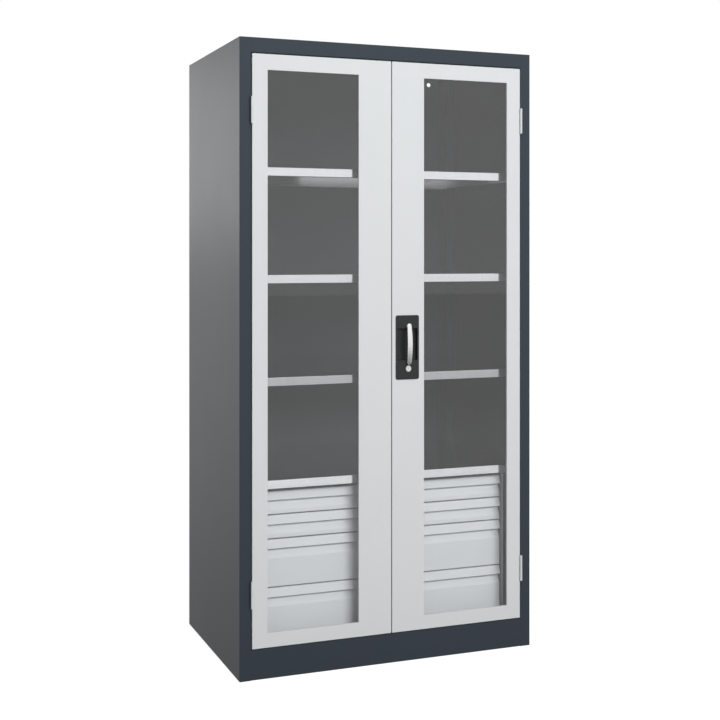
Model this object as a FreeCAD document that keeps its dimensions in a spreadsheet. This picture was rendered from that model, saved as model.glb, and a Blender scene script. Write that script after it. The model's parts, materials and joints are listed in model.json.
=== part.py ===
import FreeCAD, Part
import math
import os
import types

import Sketcher

# Heavy-duty storage cabinet: a steel carcass with two glazed doors, four shelves and four wide drawers.
# Millimetres. X runs across the front, Y from front to back, Z up.
# The origin is on the floor, in the middle of the whole cabinet with its handle.

SIZES = (
    # Carcass
    ("width", 1000, "carcass across the front"),
    ("depth", 600, "carcass from front to back, doors not counted"),
    ("height", 1950, "floor to the top of the roof"),
    ("wall", 1.5, "sheet of the carcass"),
    ("foot_lift", 2.5, "glide foot below the carcass"),
    ("foot_radius", 16, "glide foot"),
    ("foot_setback", 22, "front or rear face to the middle of a glide foot"),
    ("post_width", 36, "post beside the doors, side wall counted"),
    ("post_depth", 70, "post from front to back"),
    ("lintel_drop", 46.5, "top of the roof to the door opening"),
    ("lintel_flange", 45, "lintel's lower flange from front to back"),
    ("plinth_height", 95, "floor to the door opening"),
    ("wall_hole_radius", 7.5, "wall fixing hole in the back"),
    ("wall_hole_inset", 41, "post to the middle of a wall fixing hole"),
    ("wall_hole_drop", 25, "top of the roof to the wall fixing holes"),
    # Slotted posts and shelves
    ("slot_pitch", 15, "between slots of a post"),
    ("slot_breadth", 4, "slot along the depth"),
    ("slot_tall", 9, "slot along the height"),
    ("slot_setback", 50, "front or rear face to the middle of the slots"),
    ("slot_rise", 12, "shelf's lower edge to the middle of the slot that holds its clip"),
    ("shelf_headroom", 15, "highest drawer to the lower edge of the lowest shelf"),
    ("shelf_edge", 26, "folded edge of a shelf"),
    ("shelf_sheet", 1.5, "sheet of a shelf"),
    ("shelf_clear", 4, "door's back to a shelf's front edge"),
    ("shelf_rear_gap", 12, "shelf to the back wall"),
    ("shelf_side_gap", 2, "shelf to the post"),
    ("clip_sheet", 1.5, "sheet of a shelf clip"),
    ("clip_breadth", 14, "shelf clip along the depth"),
    ("clip_reach", 18, "shelf clip under the shelf"),
    ("clip_rise", 20, "shelf clip above the shelf's lower edge"),
    ("clip_slack", 0.5, "clip's tongue to the edges of its slot"),
    ("clip_hook", 2, "tongue behind the post's sheet"),
    # Drawers
    ("drawer_base", 13, "floor panel to the foot of the drawer stack"),
    ("shallow_drawer", 75, "pitch of the two upper drawers"),
    ("deep_drawer", 150, "pitch of the two lower drawers"),
    ("drawer_gap", 4, "between two drawer fronts"),
    ("drawer_inset", 43, "post to the end of a drawer front"),
    ("drawer_room", 35, "door's back to the lip of a drawer's grip"),
    ("drawer_sheet", 1.5, "sheet of a drawer front"),
    ("front_depth", 22, "lip of the grip to the back of a drawer front"),
    ("grip_lean", 8.5, "top of the grip behind its lip"),
    ("grip_height", 26.5, "sloping strip of the grip"),
    ("grip_undercut", 19, "finger space behind the lip"),
    ("slope_height", 29.5, "slope below the lip"),
    ("face_setback", 6.4, "lip to the flat face of a drawer front"),
    ("tray_sheet", 1.2, "sheet of a drawer tray"),
    ("tray_inset", 5, "end of a drawer front to the side of its tray"),
    ("tray_rear_gap", 40.5, "drawer tray to the back wall"),
    ("tray_lift", 6, "bottom of a drawer front to its tray"),
    ("tray_drop", 12, "top of a drawer front to the rim of its tray"),
    ("slide_space", 13, "tray to the drawer side panel"),
    ("slide_sheet", 1.5, "sheet of the drawer slides"),
    ("slide_height", 30, "inner slide member"),
    ("slide_rise", 24, "tray bottom to the middle of the slide"),
    ("slide_short", 20, "back of a tray to the end of its slides"),
    ("slide_slack", 0.3, "between the two members of a slide"),
    ("slide_lap", 10, "width of a slide member's flange"),
    ("side_margin", 6, "drawer side panel above the highest drawer"),
    ("side_lip", 6, "front edge of a drawer side panel, turned outwards"),
    # Doors
    ("door_gap", 3, "door to lintel and to plinth"),
    ("edge_gap", 3, "post to a door's edge"),
    ("meeting_gap", 3, "between the two doors"),
    ("door_proud", 4, "door in front of the carcass"),
    ("door_depth", 25, "door from front to back"),
    ("door_sheet", 1.5, "sheet of a door"),
    ("hinge_stile", 49, "door beside its window, hinge side"),
    ("lock_stile", 111, "door beside its window, meeting side"),
    ("top_rail", 48, "door above its window"),
    ("bottom_rail", 45, "door below its window"),
    ("pane_thickness", 4, "window pane"),
    ("pane_lap", 10, "pane behind the door sheet"),
    ("retainer_rim", 3, "pane retainer around the pane"),
    ("retainer_cover", 2, "pane retainer behind the pane"),
    # Hinges
    ("hinge_length", 82, "whole hinge"),
    ("hinge_drop", 171.5, "door's top to the middle of its upper hinge"),
    ("hinge_rise", 164, "door's bottom to the middle of its lower hinge"),
    ("knuckle_radius", 4, "hinge knuckle"),
    ("hinge_pin_radius", 2.5, "hinge pin"),
    ("running_slack", 0.05, "radial clearance of a turning pin"),
    ("hinge_washer", 1, "washer between two knuckles"),
    ("washer_slack", 0.1, "washer to the knuckle above it"),
    ("leaf_sheet", 1.5, "hinge leaf"),
    ("knuckle_clear", 0.5, "knuckle in front of the door"),
    ("leaf_reach", 18, "hinge leaf behind the carcass front"),
    ("pin_end", 2, "end of a knuckle to the end of its pin"),
    # Handle and lock
    ("plate_inset", 12, "door's meeting edge to the handle plate"),
    ("plate_width", 80, "handle plate"),
    ("plate_height", 203, "handle plate"),
    ("plate_low", 896, "floor to the handle plate"),
    ("plate_proud", 3, "handle plate in front of the door"),
    ("plate_corner", 6, "corner radius of the handle plate"),
    ("cup_margin", 6, "handle plate beside its finger cup"),
    ("cup_rise", 61, "lower edge of the handle plate to the finger cup"),
    ("cup_drop", 42, "upper edge of the handle plate to the finger cup"),
    ("cup_depth", 14.5, "finger cup behind the plate's front"),
    ("cup_wall", 1.5, "wall of the finger cup"),
    ("cup_slack", 0.3, "finger cup to the cut in the door"),
    ("lever_offset", 3.2, "lever beside the middle of the handle plate"),
    ("lever_drop", 34, "upper edge of the handle plate to the lever's pivot"),
    ("lever_above_key", 13, "key plug's axis to the lever's lower end"),
    ("lever_over", 8, "lever above its pivot"),
    ("lever_bow", 8, "how far the lever bows forward"),
    ("lever_slack", 0.3, "lever to the handle plate"),
    ("bow_end_width", 14.5, "lever at its ends"),
    ("bow_mid_width", 17.5, "lever at its middle"),
    ("bow_thickness", 10, "lever from front to back"),
    ("spindle_radius", 4.5, "lever's spindle"),
    ("spindle_room", 1.5, "spindle to the hole in the door"),
    ("cam_rim", 2.5, "crank disc outside its pins"),
    ("cam_thickness", 3, "crank disc"),
    ("cam_gap", 1, "finger cup to the crank disc"),
    ("crank_radius", 12, "pivot to a crank pin"),
    ("crank_pin_radius", 2.5, "crank pin"),
    ("crank_slack", 0.45, "crank pin to its slot, along the rod"),
    ("rod_radius", 3, "locking rod"),
    ("rod_plate", 3, "slotted end of a locking rod"),
    ("rod_spacing", 2.5, "between the two slotted ends"),
    ("rod_plate_length", 42, "slotted end of a locking rod"),
    ("rod_plate_edge", 7, "crank pin to the end of the slotted plate"),
    ("rod_plate_gap", 0.4, "crank disc to the slotted plate"),
    ("rod_retreat", 1, "rod's tip inside the door's edge"),
    ("rod_room", 1.5, "rod to the holes that it passes"),
    ("guide_width", 16, "rod guide"),
    ("guide_height", 16, "rod guide"),
    ("guide_wall", 5, "rod guide behind the rod's middle"),
    ("guide_margin", 60, "handle plate to the nearer rod guide"),
    ("guide_far", 40, "door's edge to the further rod guide"),
    ("key_rise", 34, "lower edge of the handle plate to the key plug"),
    ("key_radius", 8.25, "face of the key plug"),
    ("key_proud", 2, "face of the key plug in front of the handle plate"),
    ("key_core_radius", 6.5, "turning core of the key plug"),
    ("key_slot_width", 1.6, "key slot"),
    ("key_slot_length", 8, "key slot"),
    ("key_slot_depth", 1.5, "key slot"),
    ("housing_radius", 10, "lock housing"),
    ("housing_length", 14, "lock housing"),
    ("tongue_sheet", 2, "lock tongue"),
    ("tongue_width", 10, "lock tongue"),
    ("tongue_length", 24, "lock tongue"),
    ("tongue_head", 6, "lock tongue above the key plug's axis"),
    # Magnet catch of the left door
    ("catch_width", 40, "magnet catch"),
    ("catch_height", 16, "magnet catch"),
    ("catch_depth", 14, "magnet catch"),
    ("catch_offset", 70, "middle of the cabinet to the magnet catch"),
    ("catch_gap", 0.3, "magnet catch to its strike plate"),
    ("strike_width", 30, "strike plate"),
    ("strike_height", 24, "strike plate"),
    ("strike_sheet", 1.5, "strike plate"),
)

# A crank pin starts and ends its quarter turn on a diagonal.
DIAGONAL = math.sqrt(0.5)
# Slots from the lowest shelf up to each shelf, from the highest shelf down
SHELF_STEPS = (64, 42, 21, 0)
# Slots below the one that holds the lowest shelf
SLOTS_BELOW = 2
# How far a cutting shape runs past what it cuts
BEYOND = 1.0
# Ovals that shape the lever
BOW_STATIONS = 9

doc = FreeCAD.newDocument("storage_cabinet")
sheet = doc.addObject("Spreadsheet::Sheet", "Sizes")
for row, (alias, value, note) in enumerate(SIZES, 1):
    sheet.set(f"A{row}", alias)
    sheet.set(f"B{row}", str(value))
    sheet.setAlias(f"B{row}", alias)
    sheet.set(f"C{row}", note)
doc.recompute()


class Term:
    """An expression over the sheet's cells, written with ordinary arithmetic."""

    def __init__(self, text):
        self.text = text

    def __add__(self, other):
        return Term(f"({self.text} + {term(other).text})")

    def __radd__(self, other):
        return term(other) + self

    def __sub__(self, other):
        return Term(f"({self.text} - {term(other).text})")

    def __rsub__(self, other):
        return term(other) - self

    def __mul__(self, other):
        return Term(f"({self.text} * {term(other).text})")

    def __rmul__(self, other):
        return term(other) * self

    def __truediv__(self, other):
        return Term(f"({self.text} / {term(other).text})")

    def __neg__(self):
        return Term(f"(0 - {self.text})")

    def number(self):
        return float(sheet.evalExpression(self.text))


def term(value):
    return value if isinstance(value, Term) else Term(f"{value:.9g}")


size = types.SimpleNamespace(**{alias: Term(f"Sizes.{alias}") for alias, _, _ in SIZES})

# Planes and places that several pieces share
handle_reach = (
    size.door_proud + size.plate_proud + size.lever_slack + size.bow_thickness + size.lever_bow
)
front = (handle_reach - size.depth) / 2
rear = (handle_reach + size.depth) / 2
roof_under = size.height - size.wall
floor_under = size.plinth_height - size.wall
wall_inner = size.width / 2 - size.wall
opening_x = size.width / 2 - size.post_width
opening_low = size.plinth_height
opening_high = size.height - size.lintel_drop

door_outer = opening_x - size.edge_gap
door_inner = size.meeting_gap / 2
door_low = opening_low + size.door_gap
door_high = opening_high - size.door_gap
door_front = front - size.door_proud
door_skin = door_front + size.door_sheet
door_back = door_front + size.door_depth
window_outer = door_outer - size.hinge_stile
window_inner = door_inner + size.lock_stile
window_low = door_low + size.bottom_rail
window_high = door_high - size.top_rail

# The two leaves of a hinge meet in the plane of its axis.
hinge_x = opening_x - size.leaf_sheet
hinge_y = door_front - size.knuckle_clear - size.knuckle_radius

plate_left = door_inner + size.plate_inset
plate_front = door_front - size.plate_proud
lever_x = plate_left + size.plate_width / 2 + size.lever_offset
plate_high = size.plate_low + size.plate_height
lever_z = plate_high - size.lever_drop
key_z = size.plate_low + size.key_rise
lever_low = key_z + size.lever_above_key
cup_low = size.plate_low + size.cup_rise
cup_high = plate_high - size.cup_drop
cup_left = plate_left + size.cup_margin
cup_right = plate_left + size.plate_width - size.cup_margin
cup_back = plate_front + size.cup_depth + size.cup_wall
cam_front = cup_back + size.cam_gap
cam_back = cam_front + size.cam_thickness
rod_front = cam_back + size.rod_plate_gap
rod_y = rod_front + size.rod_plate / 2
crank_side = size.crank_radius * DIAGONAL
rod_side = (size.crank_radius + crank_side) / 2
keeper_radius = size.rod_radius + size.rod_room

drawer_half = opening_x - size.drawer_inset
tray_half = drawer_half - size.tray_inset
side_inner = tray_half + size.slide_space
lip_y = door_back + size.drawer_room
tray_front = lip_y + size.front_depth
tray_back = rear - size.wall - size.tray_rear_gap
drawer_top = opening_low + size.drawer_base + 2 * size.shallow_drawer + 2 * size.deep_drawer

lowest_shelf = drawer_top + size.shelf_headroom + size.shelf_edge
shelf_front = door_back + size.shelf_clear
shelf_half = opening_x - size.shelf_side_gap
shelf_tops = [
    lowest_shelf + step * size.slot_pitch
    for step in SHELF_STEPS
]

nodes = []


def keep(label, solid):
    """Record a finished piece under the name of its node."""
    solid.Label = label
    nodes.append((label, solid))
    return solid


def place(solid, point):
    for axis, value in zip("xyz", point):
        solid.setExpression(f"Placement.Base.{axis}", term(value).text)


def box(low, high):
    """A block between two opposite corners."""
    solid = doc.addObject("Part::Box", "block")
    for side, least, most in zip(("Length", "Width", "Height"), low, high):
        solid.setExpression(side, (term(most) - term(least)).text)
    place(solid, low)
    return solid


def disc(base, axis, radius, length):
    """A cylinder that starts at a base point and runs along an axis."""
    solid = doc.addObject("Part::Cylinder", "round")
    solid.Placement.Rotation = FreeCAD.Rotation(FreeCAD.Vector(0, 0, 1), FreeCAD.Vector(*axis))
    solid.setExpression("Radius", term(radius).text)
    solid.setExpression("Height", term(length).text)
    place(solid, base)
    return solid


def along_y(x, y_low, y_high, z, radius):
    return disc((x, y_low, z), (0, 1, 0), radius, y_high - y_low)


def along_z(x, y, z_low, z_high, radius):
    return disc((x, y, z_low), (0, 0, 1), radius, z_high - z_low)


def fuse(*pieces):
    solid = doc.addObject("Part::MultiFuse", "joined")
    solid.Shapes = list(pieces)
    return solid


def cut(base, *tools):
    solid = doc.addObject("Part::Cut", "cut")
    solid.Base = base
    solid.Tool = tools[0] if len(tools) == 1 else fuse(*tools)
    return solid


def group(pieces):
    """Identical pieces that share one node, each a solid of its own."""
    together = doc.addObject("Part::Compound", "set_of")
    together.Links = list(pieces)
    return together


def mirrored(source):
    """The same piece on the left-hand side."""
    solid = doc.addObject("Part::Mirroring", "mirrored")
    solid.Source = source
    solid.Normal = FreeCAD.Vector(1, 0, 0)
    return solid


def turned_to_rear(source):
    """The same piece at the other end of the carcass's depth."""
    solid = doc.addObject("Part::Mirroring", "turned")
    solid.Source = source
    solid.Normal = FreeCAD.Vector(0, 1, 0)
    solid.setExpression("Base.y", ((front + rear) / 2).text)
    return solid


def sketch_on(body, role, loops, lift=None):
    """A sketch of closed outlines, each corner a pair of terms from the sketch's origin."""
    sketch = body.newObject("Sketcher::SketchObject", "outline")
    plane = next(item for item in body.Origin.OriginFeatures if item.Role == role)
    sketch.AttachmentSupport = [(plane, "")]
    sketch.MapMode = "FlatFace"
    if lift is not None:
        sketch.setExpression("AttachmentOffset.Base.z", lift.text)
    for loop in loops:
        corners = [(term(across), term(up)) for across, up in loop]
        points = [FreeCAD.Vector(across.number(), up.number(), 0) for across, up in corners]
        first = sketch.GeometryCount
        for index, point in enumerate(points):
            sketch.addGeometry(Part.LineSegment(point, points[(index + 1) % len(points)]))
        for index, corner in enumerate(corners):
            line = first + index
            following = first + (index + 1) % len(corners)
            sketch.addConstraint(Sketcher.Constraint("Coincident", line, 2, following, 1))
            for kind, axis, value in zip(("DistanceX", "DistanceY"), (-2, -1), corner):
                if value.text == "0":
                    sketch.addConstraint(Sketcher.Constraint("PointOnObject", line, 1, axis))
                    continue
                rule = sketch.addConstraint(Sketcher.Constraint(kind, -1, 1, line, 1, value.number()))
                sketch.setExpression(f"Constraints[{rule}]", value.text)
    return sketch


def pad(body, sketch, length):
    feature = body.newObject("PartDesign::Pad", "pad")
    feature.Profile = sketch
    feature.setExpression("Length", length.text)
    sketch.Visibility = False
    return feature


def pocket(body, sketch, length):
    """A cut on the side that the sketch's normal points to."""
    feature = body.newObject("PartDesign::Pocket", "pocket")
    feature.Profile = sketch
    feature.Reversed = True
    feature.setExpression("Length", length.text)
    return feature


def rectangle(low, high):
    return ((low[0], low[1]), (high[0], low[1]), (high[0], high[1]), (low[0], high[1]))


def slotted_post():
    """The right front post: a square tube with a closed foot and a row of slots in its inner face."""
    body = doc.addObject("PartDesign::Body", "post")
    across = size.post_width - size.wall
    tall = roof_under - size.foot_lift
    pad(body, sketch_on(body, "XY_Plane", [rectangle((0, 0), (across, size.post_depth))]), tall)
    hollow = rectangle((size.wall, size.wall), (across - size.wall, size.post_depth - size.wall))
    pocket(body, sketch_on(body, "XY_Plane", [hollow], size.wall), tall)
    middle = lowest_shelf - size.shelf_edge + size.slot_rise - size.foot_lift
    lowest = middle - SLOTS_BELOW * size.slot_pitch
    slots = int(((opening_high - size.foot_lift - lowest) / size.slot_pitch).number())
    slot = rectangle(
        (size.slot_setback - size.slot_breadth / 2, lowest - size.slot_tall / 2),
        (size.slot_setback + size.slot_breadth / 2, lowest + size.slot_tall / 2),
    )
    cutter = pocket(body, sketch_on(body, "YZ_Plane", [slot]), size.wall)
    doc.recompute()
    pattern = body.newObject("PartDesign::LinearPattern", "slots")
    pattern.Originals = [cutter]
    upright = next(item for item in body.Origin.OriginFeatures if item.Role == "Z_Axis")
    pattern.Direction = (upright, [""])
    pattern.Occurrences = slots
    pattern.setExpression("Length", (size.slot_pitch * (slots - 1)).text)
    body.Tip = pattern
    place(body, (opening_x, front, size.foot_lift))
    return body


def carcass():
    post = keep("right_front_post", slotted_post())
    keep("left_front_post", mirrored(post))
    rear_post = keep("right_rear_post", turned_to_rear(post))
    keep("left_rear_post", mirrored(rear_post))

    side = keep("right_wall", box((wall_inner, front, size.foot_lift), (size.width / 2, rear, roof_under)))
    keep("left_wall", mirrored(side))
    keep("roof_panel", box((-size.width / 2, front, roof_under), (size.width / 2, rear, size.height)))
    back_wall()
    floor_panel()
    plinth_back = front + size.wall
    keep("plinth_panel", box((-opening_x, front, size.foot_lift), (opening_x, plinth_back, floor_under)))
    lintel()
    glide_feet()


def back_wall():
    back = box((-opening_x, rear - size.wall, size.foot_lift), (opening_x, rear, roof_under))
    holes = []
    for side in (-1, 1):
        x = side * (opening_x - size.wall_hole_inset)
        z = size.height - size.wall_hole_drop
        holes.append(along_y(x, rear - size.wall - BEYOND, rear + BEYOND, z, size.wall_hole_radius))
    keep("back_wall", cut(back, *holes))


def floor_panel():
    """The floor lies between the walls and is notched round the four posts."""
    plate = box((-wall_inner, front, floor_under), (wall_inner, rear - size.wall, opening_low))
    notches = []
    for side in (-1, 1):
        edge = side * opening_x
        outer = side * (size.width / 2 + BEYOND)
        left, right = (outer, edge) if side < 0 else (edge, outer)
        for low, high in (
            (front - BEYOND, front + size.post_depth),
            (rear - size.post_depth, rear + BEYOND),
        ):
            notches.append(box((left, low, floor_under - BEYOND), (right, high, opening_low + BEYOND)))
    rod_hole = along_z(lever_x - rod_side, rod_y, floor_under - BEYOND, opening_low + BEYOND, keeper_radius)
    keep("floor_panel", cut(plate, *notches, rod_hole))


def lintel():
    """An angle between the posts, with the keeper hole for the upper rod in its flange."""
    face = box((-opening_x, front, opening_high), (opening_x, front + size.wall, roof_under))
    flange_high = opening_high + size.wall
    flange = box((-opening_x, front, opening_high), (opening_x, front + size.lintel_flange, flange_high))
    low = opening_high - BEYOND
    rod_hole = along_z(lever_x + rod_side, rod_y, low, flange_high + BEYOND, keeper_radius)
    keep("lintel", cut(fuse(face, flange), rod_hole))


def glide_feet():
    feet = []
    foot_x = size.width / 2 - size.post_width / 2
    for x in (-foot_x, foot_x):
        for y in (front + size.foot_setback, rear - size.foot_setback):
            feet.append(along_z(x, y, term(0), size.foot_lift, size.foot_radius))
    keep("glide_feet", group(feet))


def shelves():
    for number, top in enumerate(shelf_tops, 1):
        low = top - size.shelf_edge
        back = rear - size.wall - size.shelf_rear_gap
        start = shelf_front
        skin = size.shelf_sheet
        tray = box((-shelf_half, start, low), (shelf_half, back, top))
        hollow = box(
            (-shelf_half + skin, start + skin, low - BEYOND),
            (shelf_half - skin, back - skin, top - skin),
        )
        keep(f"shelf_{number}", cut(tray, hollow))
    keep("shelf_clips", group(shelf_clips()))


def shelf_clips():
    """Each shelf rests on four clips, whose tongues pass through slots of the posts."""
    clips = []
    for top in shelf_tops:
        low = top - size.shelf_edge
        for y in (front + size.slot_setback, rear - size.slot_setback):
            right = shelf_clip(y, low)
            clips.append(right)
            clips.append(mirrored(right))
    return clips


def shelf_clip(y, low):
    """A plate on the post, a tab under the shelf's folded edge and a tongue in the slot."""
    near = y - size.clip_breadth / 2
    far = y + size.clip_breadth / 2
    face = opening_x - size.clip_sheet
    plate = box((face, near, low - size.clip_sheet), (opening_x, far, low + size.clip_rise))
    tab = box((opening_x - size.clip_reach, near, low - size.clip_sheet), (opening_x, far, low))
    half_breadth = size.slot_breadth / 2 - size.clip_slack
    half_tall = size.slot_tall / 2 - size.clip_slack
    middle = low + size.slot_rise
    tongue = box(
        (face, y - half_breadth, middle - half_tall),
        (opening_x + size.wall + size.clip_hook, y + half_breadth, middle + half_tall),
    )
    return fuse(plate, tab, tongue)


def drawer_side():
    """A channel that stands on the floor between the posts and carries the drawer slides."""
    start = lip_y + size.face_setback
    end = rear - size.wall - size.shelf_rear_gap
    high = drawer_top + size.side_margin
    skin = size.drawer_sheet
    block = box((side_inner, start, opening_low), (opening_x, end, high))
    hollow = box(
        (side_inner + skin, start - BEYOND, opening_low + skin),
        (opening_x + BEYOND, end + BEYOND, high - skin),
    )
    lip = box((side_inner, start, opening_low), (side_inner + size.side_lip, start + skin, high))
    return fuse(cut(block, hollow), lip)


def channel(web_x, tip_x, opens_out, z, half, skin):
    """A slide member: a channel along the depth, opening away from its web."""
    start = tray_front
    end = tray_back - size.slide_short
    left, right = (web_x, tip_x) if opens_out else (tip_x, web_x)
    block = box((left, start, z - half), (right, end, z + half))
    inner_left, inner_right = (left + skin, right + BEYOND) if opens_out else (left - BEYOND, right - skin)
    hollow = box(
        (inner_left, start - BEYOND, z - half + skin),
        (inner_right, end + BEYOND, z + half - skin),
    )
    return cut(block, hollow)


def drawers():
    side = keep("right_drawer_side", drawer_side())
    keep("left_drawer_side", mirrored(side))
    rails = []
    top = drawer_top
    pitches = (size.shallow_drawer, size.shallow_drawer, size.deep_drawer, size.deep_drawer)
    for number, pitch in enumerate(pitches, 1):
        tall = pitch - size.drawer_gap
        low = top - tall
        tray_low = low + size.tray_lift
        slide_z = tray_low + size.slide_rise
        keep(f"drawer_{number}_front", drawer_front(low, tall))
        keep(f"drawer_{number}_tray", drawer_tray(tray_low, top - size.tray_drop))
        half = size.slide_height / 2
        runner = channel(tray_half, tray_half + size.slide_lap, True, slide_z, half, size.slide_sheet)
        keep(f"drawer_{number}_runners", group([runner, mirrored(runner)]))
        rail_half = half + size.slide_slack + size.slide_sheet
        rail = channel(side_inner, side_inner - size.slide_lap, False, slide_z, rail_half, size.slide_sheet)
        rails += [rail, mirrored(rail)]
        top = top - pitch
    keep("drawer_rails", group(rails))


def drawer_front(low, tall):
    """A folded front: leaning grip strip, undercut for the fingers, slope and flat face, open at the back."""
    body = doc.addObject("PartDesign::Body", "front")
    skin = size.drawer_sheet
    lip_top = tall - size.grip_height
    lip_low = lip_top - skin
    slope_low = lip_low - size.slope_height
    outline = (
        (size.grip_lean, tall),
        (0, lip_top),
        (0, lip_low),
        (size.grip_undercut, lip_low),
        (size.face_setback, slope_low),
        (size.face_setback, 0),
        (size.front_depth, 0),
        (size.front_depth, tall),
    )
    pad(body, sketch_on(body, "YZ_Plane", [outline]), 2 * drawer_half)
    past = size.front_depth + BEYOND
    behind_grip = (
        (size.grip_lean + skin, tall - skin),
        (skin, lip_top),
        (past, lip_top),
        (past, tall - skin),
    )
    behind_face = (
        (size.grip_undercut + skin, lip_low),
        (size.face_setback + skin, slope_low),
        (size.face_setback + skin, skin),
        (past, skin),
        (past, lip_low),
    )
    hollows = sketch_on(body, "YZ_Plane", [behind_grip, behind_face], skin)
    pocket(body, hollows, 2 * drawer_half - 2 * skin)
    place(body, (-drawer_half, lip_y, low))
    return body


def drawer_tray(low, high):
    skin = size.tray_sheet
    block = box((-tray_half, tray_front, low), (tray_half, tray_back, high))
    hollow = box(
        (-tray_half + skin, tray_front + skin, low + skin),
        (tray_half - skin, tray_back - skin, high + BEYOND),
    )
    return cut(block, hollow)


def door_blank():
    """A folded pan, open at the back, with the window cut in its skin."""
    pan = box((door_inner, door_front, door_low), (door_outer, door_back, door_high))
    skin = size.door_sheet
    hollow = box(
        (door_inner + skin, door_skin, door_low + skin),
        (door_outer - skin, door_back + BEYOND, door_high - skin),
    )
    window = box(
        (window_inner, door_front - BEYOND, window_low),
        (window_outer, door_skin + BEYOND, window_high),
    )
    return cut(pan, hollow, window)


def pane():
    lap = size.pane_lap
    return box(
        (window_inner - lap, door_skin, window_low - lap),
        (window_outer + lap, door_skin + size.pane_thickness, window_high + lap),
    )


def pane_retainer():
    """A frame behind the door's skin that wraps the pane's edge and holds it from behind."""
    reach = size.pane_lap + size.retainer_rim
    back = door_skin + size.pane_thickness + size.retainer_cover
    block = box(
        (window_inner - reach, door_skin, window_low - reach),
        (window_outer + reach, back, window_high + reach),
    )
    opening = box(
        (window_inner, door_skin - BEYOND, window_low),
        (window_outer, back + BEYOND, window_high),
    )
    return cut(block, pane(), opening)


def doors():
    blank = door_blank()
    keep("left_door_panel", mirrored(blank))
    keep("right_door_panel", cut(blank, *lock_cuts()))
    glass = keep("right_pane", pane())
    keep("left_pane", mirrored(glass))
    retainer = keep("right_pane_retainer", pane_retainer())
    keep("left_pane_retainer", mirrored(retainer))
    hinges()
    magnet_catch()


def lock_cuts():
    """What the handle and the lock need cut in the right door."""
    slack = size.cup_slack + size.cup_wall
    through = (door_front - BEYOND, door_skin + BEYOND)
    cup = box(
        (cup_left - slack, through[0], cup_low - slack),
        (cup_right + slack, through[1], cup_high + slack),
    )
    spindle = along_y(lever_x, *through, lever_z, size.spindle_radius + size.spindle_room)
    housing = along_y(lever_x, *through, key_z, size.housing_radius)
    rod_holes = [
        along_z(x, rod_y, edge - size.door_sheet - BEYOND, edge + size.door_sheet + BEYOND, keeper_radius)
        for x, edge in ((lever_x + rod_side, door_high), (lever_x - rod_side, door_low))
    ]
    return cup, spindle, housing, *rod_holes


def hinges():
    post_leaves, door_leaves, pins, washers = [], [], [], []
    for middle in (door_high - size.hinge_drop, door_low + size.hinge_rise):
        low = middle - size.hinge_length / 2
        high = middle + size.hinge_length / 2
        seat = middle - size.hinge_washer / 2
        door_seat = middle + size.hinge_washer / 2 + size.washer_slack
        post_leaves.append(post_leaf(low, seat))
        door_leaves.append(door_leaf(door_seat, high))
        pin_low = low + size.pin_end
        pins.append(along_z(hinge_x, hinge_y, pin_low, high - size.pin_end, size.hinge_pin_radius))
        ring = along_z(hinge_x, hinge_y, seat, seat + size.hinge_washer, size.knuckle_radius)
        bore_top = seat + size.hinge_washer + BEYOND
        bore = along_z(hinge_x, hinge_y, seat - BEYOND, bore_top, size.hinge_pin_radius)
        washer = cut(ring, bore)
        washers += [washer, mirrored(washer)]
    right_post = keep("right_post_hinges", group(post_leaves))
    right_door = keep("right_door_hinges", group(door_leaves))
    right_pins = keep("right_hinge_pins", group(pins))
    keep("left_post_hinges", mirrored(right_post))
    keep("left_door_hinges", mirrored(right_door))
    keep("left_hinge_pins", mirrored(right_pins))
    keep("hinge_washers", group(washers))


def knuckle(leaf, low, high, bore_radius, bore_low):
    """A leaf with its knuckle, bored for the pin from a stated height up."""
    barrel = along_z(hinge_x, hinge_y, low, high, size.knuckle_radius)
    bore = along_z(hinge_x, hinge_y, bore_low, high + BEYOND, bore_radius)
    return cut(fuse(barrel, leaf), bore)


def post_leaf(low, high):
    start = hinge_y + (size.knuckle_radius + size.hinge_pin_radius) / 2
    leaf = box((hinge_x, start, low), (opening_x, front + size.leaf_reach, high))
    return knuckle(leaf, low, high, size.hinge_pin_radius, low + size.pin_end)


def door_leaf(low, high):
    leaf = box((door_outer, hinge_y, low), (hinge_x, front + size.leaf_reach, high))
    return knuckle(leaf, low, high, size.hinge_pin_radius + size.running_slack, low - BEYOND)


def magnet_catch():
    """A magnet under the lintel and a strike plate in the left door hold that door shut."""
    left = -size.catch_offset - size.catch_width / 2
    start = door_back + size.catch_gap
    catch = box(
        (left, start, opening_high - size.catch_height),
        (left + size.catch_width, start + size.catch_depth, opening_high),
    )
    keep("magnet_catch", catch)
    strike_left = -size.catch_offset - size.strike_width / 2
    flange = door_high - size.door_sheet
    strike = box(
        (strike_left, door_back - size.strike_sheet, flange - size.strike_height),
        (strike_left + size.strike_width, door_back, flange),
    )
    keep("strike_plate", strike)


def handle_plate():
    """A moulded plate with a finger cup that passes through the door's skin."""
    plate = box(
        (plate_left, plate_front, size.plate_low),
        (plate_left + size.plate_width, door_front, plate_high),
    )
    doc.recompute()
    rounded = doc.addObject("Part::Fillet", "rounded")
    rounded.Base = plate
    radius = size.plate_corner.number()
    rounded.Edges = [
        (number, radius, radius)
        for number, edge in enumerate(plate.Shape.Edges, 1)
        if abs(edge.tangentAt(edge.FirstParameter).y) > DIAGONAL
    ]
    wall = size.cup_wall
    cup = box(
        (cup_left - wall, door_front, cup_low - wall),
        (cup_right + wall, cup_back, cup_high + wall),
    )
    hollow = box((cup_left, plate_front - BEYOND, cup_low), (cup_right, cup_back - wall, cup_high))
    through = (plate_front - BEYOND, door_front + BEYOND)
    spindle = along_y(lever_x, *through, lever_z, size.spindle_radius + size.running_slack)
    housing = along_y(lever_x, *through, key_z, size.housing_radius)
    keep("handle_plate", cut(fuse(rounded, cup), hollow, spindle, housing))


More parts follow.
